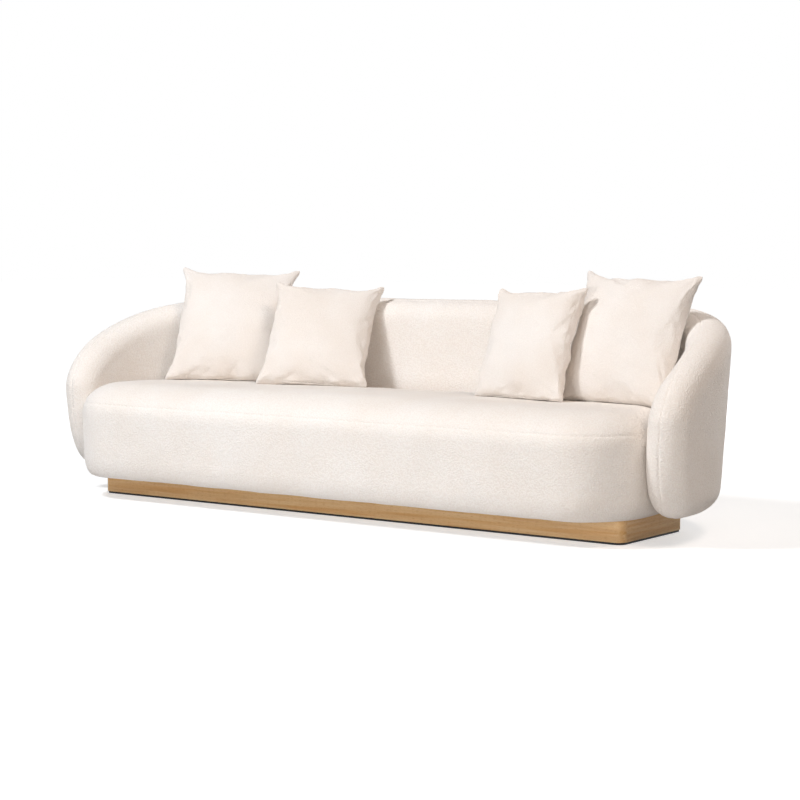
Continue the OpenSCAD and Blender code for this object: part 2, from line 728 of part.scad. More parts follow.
// height of the middle of a cushion whose lowest point rests on the seat
function cushion_h(c) = cushion_gap + max([
    for (p = concat(cushion_points(c[3], c[4]), zip_corners(c)))
        let (q = turned(p, c)) seat_top(cushion_x(c) + q.x, cushion_y(c) + q.y) - q.z
]);
module place_cushion(c) {
    translate([cushion_x(c), cushion_y(c), cushion_h(c)])
        rotate([0, 0, c[5]]) rotate([-c[6], 0, 0]) rotate([0, -c[7], 0]) children();
}
module cushion_cover(c) {
    color(cloth) place_cushion(c) difference() {
        cushion_body(c[3], c[4]);
        cushion_body(c[3] - 4 * cover_t, c[4] - 2 * cover_t);
    }
}
module cushion_filling(c) {
    spare = 2 * cushion_gap;
    color(foam) place_cushion(c) cushion_body(c[3] - 4 * cover_t - spare, c[4] - 2 * cover_t - spare);
}
module cushion_zip(c) {
    color(cloth) place_cushion(c)
        translate([-zip_l / 2, -zip_w / 2, zip_base(c)]) cube([zip_l, zip_w, zip_h]);
}
module left_large_cushion_cover() {
    cushion_cover(left_large);
}
module left_large_cushion_filling() {
    cushion_filling(left_large);
}
module left_large_cushion_zip() {
    cushion_zip(left_large);
}
module left_small_cushion_cover() {
    cushion_cover(left_small);
}
module left_small_cushion_filling() {
    cushion_filling(left_small);
}
module left_small_cushion_zip() {
    cushion_zip(left_small);
}
module right_small_cushion_cover() {
    cushion_cover(right_small);
}
module right_small_cushion_filling() {
    cushion_filling(right_small);
}
module right_small_cushion_zip() {
    cushion_zip(right_small);
}
module right_large_cushion_cover() {
    cushion_cover(right_large);
}
module right_large_cushion_filling() {
    cushion_filling(right_large);
}
module right_large_cushion_zip() {
    cushion_zip(right_large);
}

floor_runner();
runner_screws();
plinth_front_board();
plinth_rear_board();
plinth_left_board();
plinth_right_board();
plinth_corner_posts();
plinth_cross_rails();
plinth_glue_blocks();
plinth_bolts();
plinth_washers();
dust_cover();
deck_front_rail();
deck_rear_rail();
deck_left_rail();
deck_right_rail();
deck_front_corner_blocks();
deck_rear_corner_blocks();
deck_bearers();
deck_noggins();
webbing_crosswise();
webbing_lengthwise();
deck_end_boards();
deck_edge_foam();
seat_foam();
seat_cover_top();
seat_cover_band();
shell_core();
shell_foam_inside();
shell_foam_outside();
shell_cover_inside();
shell_cover_outside();
tie_rods();
tie_rod_nuts();
left_large_cushion_cover();
left_large_cushion_filling();
left_large_cushion_zip();
left_small_cushion_cover();
left_small_cushion_filling();
left_small_cushion_zip();
right_small_cushion_cover();
right_small_cushion_filling();
right_small_cushion_zip();
right_large_cushion_cover();
right_large_cushion_filling();
right_large_cushion_zip();
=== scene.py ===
import math
import bpy
import numpy as np
from mathutils import Euler, Matrix, Vector
from mathutils.bvhtree import BVHTree


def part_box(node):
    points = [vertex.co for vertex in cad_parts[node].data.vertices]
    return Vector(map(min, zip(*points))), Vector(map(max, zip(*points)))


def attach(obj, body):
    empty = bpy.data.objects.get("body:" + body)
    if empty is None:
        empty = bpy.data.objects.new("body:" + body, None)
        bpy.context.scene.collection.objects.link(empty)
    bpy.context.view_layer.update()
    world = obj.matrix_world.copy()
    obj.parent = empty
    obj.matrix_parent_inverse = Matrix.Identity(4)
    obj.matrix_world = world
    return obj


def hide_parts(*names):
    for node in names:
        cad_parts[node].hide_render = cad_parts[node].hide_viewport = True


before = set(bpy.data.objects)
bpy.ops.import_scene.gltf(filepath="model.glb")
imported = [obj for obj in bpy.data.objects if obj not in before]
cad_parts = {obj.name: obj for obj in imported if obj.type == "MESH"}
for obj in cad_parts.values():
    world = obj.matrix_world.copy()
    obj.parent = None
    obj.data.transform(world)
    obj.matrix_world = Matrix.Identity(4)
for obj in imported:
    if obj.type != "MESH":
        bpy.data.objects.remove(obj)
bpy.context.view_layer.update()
print("stage: frame loaded")


# an sRGB hex code as linear red, green, blue and alpha:
# c / 12.92 for dark channels, and ((c + 0.055) / 1.055)^2.4 above 0.04045
def linearColor(code):
    channels = [int(code[i:i + 2], 16) / 255 for i in (1, 3, 5)]
    return [c / 12.92 if c <= 0.04045 else ((c + 0.055) / 1.055) ** 2.4 for c in channels] + [1.0]


# the box round several CAD nodes: the least and the most of their corners
def jointBox(*names):
    boxes = [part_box(n) for n in names]
    low = np.array([b[0] for b in boxes]).min(axis=0)
    high = np.array([b[1] for b in boxes]).max(axis=0)
    return low, high


# slides and scales points so that the box round them runs from low to high:
# low + (point - first) * (high - low) / (last - first)
def fitToBox(points, low, high):
    first, last = points.min(axis=0), points.max(axis=0)
    return low + (points - first) * (high - low) / (last - first)


# a smooth-shaded piece at the origin, from points and lists of corners that face outwards
def meshPiece(name, points, faces):
    mesh = bpy.data.meshes.new(name)
    mesh.from_pydata(points.tolist(), [], faces)
    mesh.polygons.foreach_set("use_smooth", np.ones(len(mesh.polygons), bool))
    mesh.update()
    piece = bpy.data.objects.new(name, mesh)
    bpy.context.scene.collection.objects.link(piece)
    return piece


# the points of a piece as rows of x, y and z, or its normals
def readPoints(piece, what="co"):
    values = np.zeros(len(piece.data.vertices) * 3, np.float32)
    piece.data.vertices.foreach_get(what, values)
    return values.reshape(-1, 3).astype(float)


# puts rows of x, y and z back into a piece
def writePoints(piece, points):
    piece.data.vertices.foreach_set("co", points.astype(np.float32).ravel())
    piece.data.update()


# rises from 0 to 1 with level ends: t^2 * (3 - 2 t)
def smoothStep(t):
    return t * t * (3 - 2 * t)


# 1 where the gap is 0, and less on both sides of it: exp(-(gap / width)^2)
def bell(gap, width):
    return np.exp(-(gap / width) ** 2)


# smooth unevenness round 0: the sum over count directions of sin(2 pi p.d / length + phase), over
# sqrt(count), with each wave between 0.7 and 1.5 of the length asked for
def swell(points, length, seed, count=14):
    dice = np.random.default_rng(seed)
    total = np.zeros(len(points))
    for _ in range(count):
        direction = dice.normal(size=3)
        direction /= np.linalg.norm(direction) * length * dice.uniform(0.7, 1.5)
        total += np.sin(2 * np.pi * (points @ direction) + dice.uniform(0, 2 * np.pi))
    return total / math.sqrt(count)


# a piece with the faces of whole that keep says, and only their points
def splitPiece(whole, name, keep):
    faces = [f for f, wanted in zip(whole["faces"], keep) if wanted]
    used = np.unique(np.concatenate(faces))
    place = np.full(len(whole["points"]), -1)
    place[used] = np.arange(len(used))
    return meshPiece(name, whole["points"][used], [place[f].tolist() for f in faces])


# quads between the rows and columns of a grid of point numbers, or a triangle where a side is a single point
def gridFaces(grid):
    corners = [grid[:-1, :-1], grid[:-1, 1:], grid[1:, 1:], grid[1:, :-1]]
    quads = np.stack(corners, axis=-1).reshape(-1, 4)
    pinched = (quads == np.roll(quads, -1, axis=1)).any(axis=1)
    return quads[~pinched].tolist() + [list(dict.fromkeys(q)) for q in quads[pinched].tolist()]


# a line in plan that runs straight, turns 90 degrees round a corner and runs on to the front, at s metres
# from its middle: x = straight + radius * sin(turn), and y = radius * (cos(turn) - 1) - the length past the
# corner. Gives x, y and the direction that points outwards
def bentLine(s, straight, radius):
    far = np.abs(s)
    turn = np.clip((far - straight) / radius, 0, np.pi / 2)
    x = np.sign(s) * (np.minimum(far, straight) + radius * np.sin(turn))
    y = radius * (np.cos(turn) - 1) - np.maximum(0, far - straight - radius * np.pi / 2)
    return x, y, np.sign(s) * np.sin(turn), np.cos(turn)


seamRows = np.array([0, 0.0012, 0.003, 0.006, 0.011])  # metres from a seam, for rows that follow it closely
farFromSeam = 9.0  # metres, for points that no seam is near


# a closed surface from rings of 2 n points each. Quads join ring to ring, and the first and last rings are
# filled by rows of points, lower + (upper - lower) * mix, between the half of the ring that runs out and the
# half that runs back. place(row, flat) puts the flat points of a row in space
def closedSurface(rings, flat, place, steps, seamRow, seamGap):
    rows, loopCount = rings.shape[:2]
    loops = np.arange(rows * loopCount).reshape(rows, loopCount)
    points = [rings.reshape(-1, 3)]
    faces = gridFaces(np.concatenate([loops, loops[:, :1]], axis=1))
    faceRows = [np.repeat(np.arange(rows - 1), loopCount)]
    out = np.arange(loopCount // 2 + 1)
    back = (loopCount - out) % loopCount
    mix = np.linspace(0, 1, steps + 1)[1:-1, None, None]
    start = loops.size
    for row in (0, rows - 1):
        upper, lower = flat[row][out][1:-1], flat[row][back][1:-1]
        inside = place(row, lower + (upper - lower) * mix)
        numbers = start + np.arange(inside.size // 3).reshape(inside.shape[:2])
        start += numbers.size
        points.append(inside.reshape(-1, 3))
        ends = np.tile(loops[row, out[[0, -1]]], (len(mix), 1))
        middle = np.concatenate([ends[:, :1], numbers, ends[:, 1:]], axis=1)
        grid = np.concatenate([loops[row, back][None], middle, loops[row, out][None]])
        sheet = gridFaces(grid[:, ::-1] if row else grid)
        faces += sheet
        faceRows.append(np.full(len(sheet), row))
    points = np.concatenate(points)
    gap = np.full(len(points), farFromSeam)
    gap[:seamGap.size] = seamGap.ravel()
    faceRows = np.concatenate(faceRows)
    return {"points": points, "faces": faces, "faceRows": faceRows, "seamRow": seamRow, "seamGap": gap}


padding = {
    "swell": 0.0009, "swellLength": 0.24, "ripple": 0.0003, "rippleLength": 0.09,  # slow and quick unevenness
    "puckerLength": 0.035, "puckerReach": 0.022,
}


# lifts the surface off its solid and draws it in along the seam:
# lift = proud + swell - depth * exp(-(gap / width)^2), with small puckers that fade away from the seam
def padSurface(whole, form):
    draft = meshPiece("draft", whole["points"], whole["faces"])
    normals = readPoints(draft, "normal")
    bpy.data.objects.remove(draft)
    points, gap, seed = whole["points"], whole["seamGap"], form["seed"]
    lift = form["proud"] + padding["swell"] * swell(points, padding["swellLength"], seed)
    lift += padding["ripple"] * swell(points, padding["rippleLength"], seed + 1)
    pucker = form["pucker"] * swell(points, padding["puckerLength"], seed + 2)
    lift += pucker * bell(gap, padding["puckerReach"])
    lift -= form["seamDepth"] * bell(gap, form["seamWidth"])
    whole["points"] = points + normals * lift[:, None]


# the shell: back and arms in one padded band round the seat
shellForm = {
    "thickness": 0.151, "cornerRadius": 0.556, "straight": 0.796,  # half of the straight back
    "armReach": 0.7193, "crownHeight": 0.789, "crownBehind": 0.143, "tipHeight": 0.419,
    "hemHeight": 0.092, "hemRun": 0.154, "topPower": 1.82, "hemPower": 2.56,
    "lean": 0.062, "leanHeight": 0.400,
    "columns": 200, "edgeSteps": 12, "faceSteps": 54, "draftSteps": 40,  # draft points to a column
    "proud": 0.0028, "seamDepth": 0.0024, "seamWidth": 0.0040, "pucker": 0.0002, "seed": 11,
    "seamTip": 90.0, "seamArm": 66.0, "seamEase": 0.25,  # degrees at the tip and past the first 0.25 m of arm
}


# the closed surface of the shell: a loop of (s, z) runs round its edge, half circles of radius thickness / 2
# round it over from the inner to the outer face, and each face is filled between the upper and lower halves
# of the loop
def shellWhole(form):
    radius, half, count = form["cornerRadius"], form["thickness"] / 2, form["columns"]
    length = form["straight"] + radius * np.pi / 2 + form["armReach"] - radius

    # the band leans outwards by lean metres for each metre above leanHeight
    def placed(s, off, z):
        x, y, outX, outY = bentLine(s, form["straight"], radius)
        reach = off + form["lean"] * (z - form["leanHeight"])
        return np.stack([x + outX * reach, y + outY * reach, z], axis=-1)

    # (1 - u^p)^(1/p), an oval's height at u
    def oval(u, power):
        return np.maximum(0, 1 - np.clip(u, 0, 1) ** power) ** (1 / power)

    # the same line at 2 * count + 1 points with even steps along it
    def evenSteps(s, z):
        run = np.concatenate([[0], np.cumsum(np.hypot(np.diff(s), np.diff(z)))])
        marks = np.linspace(0, run[-1], 2 * count + 1)
        return np.stack([np.interp(marks, run, s), np.interp(marks, run, z)], 1)

    # z = tip + rise * (1 - u^p)^(1/p), with u from 0 at the crown or the hem to 1 at the tip of the arm
    s = length * np.sin(np.linspace(-np.pi / 2, np.pi / 2, form["draftSteps"] * count + 1))
    y = bentLine(s, form["straight"], radius)[1]
    rise = form["crownHeight"] - form["tipHeight"]
    drop = form["tipHeight"] - form["hemHeight"]
    fromCrown = (form["crownBehind"] - y) / (form["crownBehind"] + form["armReach"])
    fromHem = (form["hemRun"] - form["armReach"] - y) / form["hemRun"]
    top = evenSteps(s, form["tipHeight"] + rise * oval(fromCrown, form["topPower"]))
    hem = evenSteps(s, form["tipHeight"] - drop * oval(fromHem, form["hemPower"]))
    edge = np.concatenate([top, hem[-2:0:-1]])
    along = np.roll(edge, -1, axis=0) - np.roll(edge, 1, axis=0)
    along /= np.linalg.norm(along, axis=1, keepdims=True)
    outward = np.stack([-along[:, 1], along[:, 0]], 1)

    # at the tip the seam runs at 90 degrees, the middle of the rounding, and it moves inwards along the arm
    fromTip = np.clip((length - np.abs(edge[:, 0])) / form["seamEase"], 0, 1)
    onTop = np.arange(len(edge)) <= 2 * count
    seam = np.radians(form["seamTip"] + (form["seamArm"] - form["seamTip"]) * smoothStep(fromTip) * onTop)
    near = seamRows / half
    shares = np.linspace(0, 1, form["edgeSteps"] + 1)
    inner = [seam * share for share in shares[:-2]] + [seam - angle for angle in near[::-1]]
    outer = [seam + angle for angle in near[1:]] + [seam + (np.pi - seam) * share for share in shares[2:]]
    angles = np.array(inner + outer)
    off = -half * np.cos(angles)
    inset = half - half * np.sin(angles)
    flat = edge[None] - inset[..., None] * outward[None]
    rings = placed(flat[..., 0], off, flat[..., 1])
    return closedSurface(rings, flat, lambda row, face: placed(face[..., 0], off[row, 0], face[..., 1]),
                         form["faceSteps"], len(inner) - 1, np.abs(angles - seam[None]) * half)


shell = shellWhole(shellForm)
shellLow, shellHigh = jointBox("shell_cover_inside", "shell_cover_outside")
shell["points"] = fitToBox(shell["points"], shellLow, shellHigh)
padSurface(shell, shellForm)
isInside = shell["faceRows"] < shell["seamRow"]
shellCoverInside = splitPiece(shell, "shellCoverInside", isInside)
shellCoverOutside = splitPiece(shell, "shellCoverOutside", ~isInside)
print("stage: shell", len(shell["points"]))


# the seat: one thick bench with a seam round its top panel
seatForm = {
    "radius": 0.4795, "straight": 0.796,  # of its plan, inside the shell
    "frontRadius": 0.240, "depth": 0.8012, "lean": 0.062, "leanHeight": 0.400,
    "underside": 0.090, "top": 0.449, "seam": 0.374,
    "roundHeight": 0.116, "roundWidth": 0.165, "lowHeight": 0.075, "lowTuck": 0.029,
    "underInsets": (0.030, 0.012), "underDrop": 0.0002,  # two rows that lead on to the underside
    "fall": 0.027, "crown": 0.004,
    "halfCount": 330, "panelSteps": 40, "lowRows": 12, "sideSteps": 16, "rowsToSeam": 5, "rowsPastSeam": 22,
    "proud": 0.0026, "seamDepth": 0.0020, "seamWidth": 0.0040, "pucker": 0.0003, "seed": 31,
}


# the closed surface of the seat: a plan loop is inset row by row up a profile of two quarter ovals and a
# side, and the top and the underside are filled between the rear and front halves of the loop
def seatWhole(form):
    n, depth = form["halfCount"], form["depth"]
    halfWidth = form["straight"] + form["radius"]
    sideLine = depth - form["radius"] - form["frontRadius"]  # straight side between the two corners

    # half of the plan at n points with even steps, from the middle of one side round to the other
    def planHalf(straight, radius):
        far = sideLine / 2 + radius * np.pi / 2 + straight
        return np.stack(bentLine(np.arange(n) / n * 2 * far - far, straight, radius), 1)

    # the rear half runs from the right to the left and the front half from the left to the right
    rear = planHalf(form["straight"], form["radius"]) * (-1, 1, -1, 1)
    front = planHalf(halfWidth - form["frontRadius"], form["frontRadius"]) * (1, -1, 1, -1) - (0, depth, 0, 0)
    x, y, outX, outY = np.concatenate([rear, front]).T
    leaning = np.concatenate([np.ones(n), front[:, 2] ** 2])  # none along the front

    base = form["top"] - form["roundHeight"]
    seamAngle = math.asin((form["seam"] - base) / form["roundHeight"])
    near = seamRows / form["roundHeight"]
    high = np.sort(np.concatenate([
        np.linspace(0, seamAngle, form["rowsToSeam"])[:-1], seamAngle - near, seamAngle + near[1:],
        np.linspace(seamAngle, np.pi / 2, form["rowsPastSeam"])[2:],
    ]))
    low = np.radians(np.linspace(0, 90, form["lowRows"]))
    sideFoot = form["underside"] + form["lowHeight"]
    side = sideFoot + (base - sideFoot) * np.arange(1, form["sideSteps"]) / form["sideSteps"]
    profile = np.concatenate([
        [(form["lowTuck"] + inset, form["underside"] - form["underDrop"]) for inset in form["underInsets"]],
        np.stack([
            form["lowTuck"] * (1 - np.sin(low)), form["underside"] + form["lowHeight"] * (1 - np.cos(low)),
        ], 1),
        np.stack([0 * side, side], 1),
        np.stack([form["roundWidth"] * (1 - np.cos(high)), base + form["roundHeight"] * np.sin(high)], 1),
    ])
    seamRow = len(profile) - len(high) + int(np.searchsorted(high, seamAngle))
    inset, z = profile[:, :1], profile[:, 1:]
    shift = form["lean"] * (z - form["leanHeight"]) * leaning - inset
    rings = np.stack([x + outX * shift, y + outY * shift, np.broadcast_to(z, shift.shape)], -1)
    gap = np.broadcast_to(np.linalg.norm(profile - profile[seamRow], axis=1)[:, None], shift.shape)
    whole = closedSurface(rings, rings, lambda row, panel: panel, form["panelSteps"], seamRow, gap)

    # behind its rounded edge the top falls by fall metres per metre, and its middle swells up by crown
    points = whole["points"]
    level = np.clip((points[:, 2] - form["seam"]) / (form["top"] - form["seam"]), 0, 1)
    fromFront = points[:, 1] + depth
    points[:, 2] -= form["fall"] * np.maximum(0, fromFront - form["roundWidth"]) * level
    across = np.clip(1 - (points[:, 0] / halfWidth) ** 2, 0, 1)
    middle = np.sin(np.pi * np.clip(fromFront / depth, 0, 1))
    points[:, 2] += form["crown"] * across * middle * level ** 2
    return whole


seat = seatWhole(seatForm)
seatLow, seatHigh = jointBox("seat_cover_top", "seat_cover_band")
seatHigh[2] += seatForm["crown"]
seat["points"] = fitToBox(seat["points"], seatLow, seatHigh)
padSurface(seat, seatForm)
isTop = seat["faceRows"] >= seat["seamRow"]
seatCoverTop = splitPiece(seat, "seatCoverTop", isTop)
seatCoverBand = splitPiece(seat, "seatCoverBand", ~isTop)
print("stage: seat", len(seat["points"]))

# the scatter cushions, each with the turn, backward lean and roll in degrees at which it was set down
cushionLooks = {
    "left_large": {"side": 0.508, "thickness": 0.150, "turn": 24.5, "lean": 26.5, "roll": -1.4, "seed": 5},
    "left_small": {"side": 0.456, "thickness": 0.130, "turn": 23.5, "lean": 31.0, "roll": -2.7, "seed": 12},
    "right_small": {"side": 0.426, "thickness": 0.130, "turn": -10.0, "lean": 21.0, "roll": 2.1, "seed": 7},
    "right_large": {"side": 0.498, "thickness": 0.150, "turn": -5.0, "lean": 21.0, "roll": -1.7, "seed": 8},
}
cushionForm = {
    "steps": 64, "edgeShare": 0.55,  # how much closer the rows lie near the seams
    "pull": 0.088, "pullPower": 4.2, "ear": 0.036, "knife": 0.002, "crownPower": 0.45,  # the sewn outline
    "wobble": 0.0022, "wobbleLength": 0.1, "wobbleSeeds": (0, 50),  # front and rear, on top of its own seed
    "frames": 20, "pressure": 3.0, "spareCloth": 0.02, "share": 0.6, "cap": 0.026,  # the filling
    "quality": 8, "clothMass": 0.25, "drag": 2,
    "stretchStiffness": 40, "shearStiffness": 12, "bendStiffness": 0.1,
    "pucker": 0.0016, "puckerLength": 0.034, "puckerReach": 0.030, "puckerSeed": 90,
    "panelGap": 0.3,  # keeps the puckers of the two panels apart
    "wave": 0.0045, "waveLength": 0.085, "waveReach": 0.045, "waveSeed": 91,
    "lip": 0.0022, "lipGap": 0.006, "lipWidth": 0.003,
    "settle": 0.024, "settleFrom": 0.35, "castAbove": 0.1, "castReach": 0.3,
}


# rounds the corners of a square of half side 1: inside the corner of side r, at (a, b) from 0 to 1,
# a becomes a * sqrt(1 - b^2 / 2), so the square corner turns into a quarter disc
def roundedSquare(u, v, r):
    a, b = (np.clip((np.abs(w) - (1 - r)) / r, 0, 1) for w in (u, v))
    corners = ((u, a, b), (v, b, a))
    return (np.sign(w) * (np.abs(w) - r * c * (1 - np.sqrt(1 - d * d / 2))) for w, c, d in corners)


# two square panels sewn along their edges: x and z = side / 2 * u * (1 - pull * (1 - |v|^pullPower)), with
# the corners rounded to small ears, and on each side
# height = knife + thickness / 2 * ((1 - u^2)(1 - v^2))^crownPower, with a little swell
def sewnPillow(name, look, form):
    n, half = form["steps"], look["side"] / 2
    even = np.linspace(-1, 1, n + 1)
    closer = (1 - form["edgeShare"]) * even + form["edgeShare"] * np.sin(np.pi / 2 * even)
    u, v = np.meshgrid(closer, closer)
    wide, tall = roundedSquare(u, v, form["ear"] / half)
    x = wide * (1 - form["pull"] * (1 - np.abs(v) ** form["pullPower"])) * half
    z = tall * (1 - form["pull"] * (1 - np.abs(u) ** form["pullPower"])) * half
    body = (1 - u * u) * (1 - v * v)
    rise = form["knife"] + look["thickness"] / 2 * body ** form["crownPower"]
    flat = np.stack([x, z, 0 * x], -1).reshape(-1, 3)
    inner = (np.abs(u) < 1) & (np.abs(v) < 1)
    seeds = [look["seed"] + more for more in form["wobbleSeeds"]]
    waves = [swell(flat, form["wobbleLength"], seed).reshape(x.shape) for seed in seeds]
    front, rear = (np.where(inner, rise + form["wobble"] * np.sqrt(body) * wave, 0) for wave in waves)
    middle = (slice(1, -1), slice(1, -1))  # the panels share the points of their edge
    frontNumbers = np.arange((n + 1) ** 2).reshape(n + 1, n + 1)
    rearNumbers = frontNumbers.copy()
    rearNumbers[middle] = (n + 1) ** 2 + np.arange((n - 1) ** 2).reshape(n - 1, n - 1)
    frontPoints, rearPoints = np.stack([x, -front, z], -1), np.stack([x, rear, z], -1)[middle]
    points = np.concatenate([frontPoints.reshape(-1, 3), rearPoints.reshape(-1, 3)])
    spots = np.stack([u, v], -1)
    onPanel = np.concatenate([spots.reshape(-1, 2), spots[middle].reshape(-1, 2)])
    return meshPiece(name, points, gridFaces(frontNumbers) + gridFaces(rearNumbers[:, ::-1])), onPanel


# fills the sewn panels as cloth under pressure. Each point keeps a share of its movement, bent to stay under
# the cap: start + moved * cap * tanh(far / cap) / far
def fillCushion(piece, form):
    start = readPoints(piece)
    bpy.context.view_layer.objects.active = piece
    piece.select_set(True)
    modifier = piece.modifiers.new("cloth", "CLOTH")
    cloth = modifier.settings
    cloth.quality = form["quality"]
    cloth.mass = form["clothMass"]
    cloth.tension_stiffness = cloth.compression_stiffness = form["stretchStiffness"]
    cloth.shear_stiffness = form["shearStiffness"]
    cloth.bending_stiffness = form["bendStiffness"]
    cloth.air_damping = form["drag"]
    cloth.shrink_min = -form["spareCloth"]
    cloth.use_pressure = True
    cloth.uniform_pressure_force = form["pressure"]
    cloth.effector_weights.gravity = 0
    modifier.collision_settings.use_collision = False
    modifier.point_cache.frame_end = form["frames"]
    for step in range(1, form["frames"] + 1):
        bpy.context.scene.frame_set(step)
    bpy.ops.object.modifier_apply(modifier=modifier.name)
    bpy.context.scene.frame_set(1)
    piece.select_set(False)
    moved = (readPoints(piece) - start) * form["share"]
    far = np.linalg.norm(moved, axis=1, keepdims=True)
    writePoints(piece, start + moved * form["cap"] * np.tanh(far / form["cap"]) / np.maximum(far, 1e-9))


# gathers the cloth along the sewn edge: lift = pucker * swell * exp(-(gap / reach)^2), less
# lip * exp(-((gap - lipGap) / lipWidth)^2), and the seam sways from side to side by
# wave * swell * exp(-(gap / reach)^2)
def gatherEdge(piece, onPanel, look, form):
    points, normals = readPoints(piece), readPoints(piece, "normal")
    across, up = onPanel.T * look["side"] / 2
    gap = (1 - np.abs(onPanel).max(axis=1)) * look["side"] / 2
    faced = np.stack([across, form["panelGap"] * np.sign(points[:, 1]), up], 1)
    lift = form["pucker"] * swell(faced, form["puckerLength"], look["seed"] + form["puckerSeed"])
    lift *= bell(gap, form["puckerReach"]) * np.clip(gap / form["lipGap"], 0, 1)
    lift -= form["lip"] * bell(gap - form["lipGap"], form["lipWidth"])
    flat = np.stack([across, 0 * gap, up], 1)
    sway = form["wave"] * swell(flat, form["waveLength"], look["seed"] + form["waveSeed"])
    points = points + normals * lift[:, None]
    points[:, 1] += sway * bell(gap, form["waveReach"])
    writePoints(piece, points)


# lays the lower edge on the seat: each column of a panel goes down by the gap under its foot, fading upwards
def layOnSeat(points, onPanel, tree, form):
    isFoot = onPanel[:, 1] < -0.9999  # the points of the lower edge, at -1
    order = np.argsort(onPanel[isFoot, 0])
    across, feet = onPanel[isFoot, 0][order], points[isFoot][order]
    above, down = Vector((0, 0, form["castAbove"])), Vector((0, 0, -1))
    hits = [tree.ray_cast(Vector(foot) + above, down, form["castReach"])[0] for foot in feet]
    gaps = [foot[2] - hit.z if hit else 0.0 for foot, hit in zip(feet, hits)]
    gap = np.clip(np.interp(onPanel[:, 0], across, gaps), -form["settle"], form["settle"])
    fade = np.clip((-onPanel[:, 1] - form["settleFrom"]) / (1 - form["settleFrom"]), 0, 1)
    lowered = points.copy()
    lowered[:, 2] -= gap * smoothStep(fade)
    return lowered


seatTree = BVHTree.FromPolygons(readPoints(seatCoverTop).tolist(),
                                [p.vertices[:] for p in seatCoverTop.data.polygons])
cushionPieces = {}
for key, look in cushionLooks.items():
    side, size = key.split("_")
    piece, onPanel = sewnPillow(side + size.capitalize() + "Cushion", look, cushionForm)
    fillCushion(piece, cushionForm)
    half = np.array([look["side"], look["thickness"], look["side"]]) / 2
    writePoints(piece, fitToBox(readPoints(piece), -half, half))
    gatherEdge(piece, onPanel, look, cushionForm)
    low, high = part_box(key + "_cushion_cover")
    place = np.array(Matrix.Translation((low + high) / 2)
                     @ Matrix.Rotation(math.radians(look["turn"]), 4, "Z")
                     @ Matrix.Rotation(math.radians(-look["lean"]), 4, "X")
                     @ Matrix.Rotation(math.radians(-look["roll"]), 4, "Y"))
    points = readPoints(piece) @ place[:3, :3].T + place[:3, 3]
    writePoints(piece, layOnSeat(points, onPanel, seatTree, cushionForm))
    smooth = piece.modifiers.new("smooth", "SUBSURF")
    smooth.levels = smooth.render_levels = 1
    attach(piece, key + "_cushion")
    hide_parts(key + "_cushion_cover", key + "_cushion_filling")
    cushionPieces[key] = piece
    print("stage: cushion", key)

for piece, node in ((shellCoverInside, "shell_cover_inside"), (shellCoverOutside, "shell_cover_outside"),
                    (seatCoverTop, "seat_cover_top"), (seatCoverBand, "seat_cover_band")):
    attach(piece, "sofa")
    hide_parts(node)


# a new material or world with an empty node tree
def emptied(owner):
    owner.use_nodes = True
    owner.node_tree.nodes.clear()
    return owner


# adds a node to a material: settings fill its own properties or its sockets, a ramp takes pairs of place and
# colour, and links lead from other nodes, or from their named outputs, into its sockets
def addNode(material, kind, settings=None, links=None):
    tree = material.node_tree
    node = tree.nodes.new("ShaderNode" + kind)
    for key, value in (settings or {}).items():
        if key == "ramp":
            marks = node.color_ramp.elements
            while len(marks) < len(value):
                marks.new(0.5)
            for mark, (place, code) in zip(marks, value):
                mark.position, mark.color = place, linearColor(code)
        elif isinstance(key, str) and hasattr(node, key):
            setattr(node, key, value)
        else:
            node.inputs[key].default_value = value
    for key, source in (links or {}).items():
        output = source[0].outputs[source[1]] if isinstance(source, tuple) else source.outputs[0]
        tree.links.new(output, node.inputs[key])
    return node


# ends a material with its shader, which takes constant settings and links from the patterns, and its output
def endMaterial(material, settings, links):
    shader = addNode(material, "BsdfPrincipled", settings, links)
    addNode(material, "OutputMaterial", links={"Surface": shader})
    return material


# the Scale at which a wave pattern has one band every so many millimetres, because it draws 20 / (2 pi) bands
# to a metre at a Scale of 1
def bandScale(millimetres):
    return 1000 / millimetres * 2 * math.pi / 20


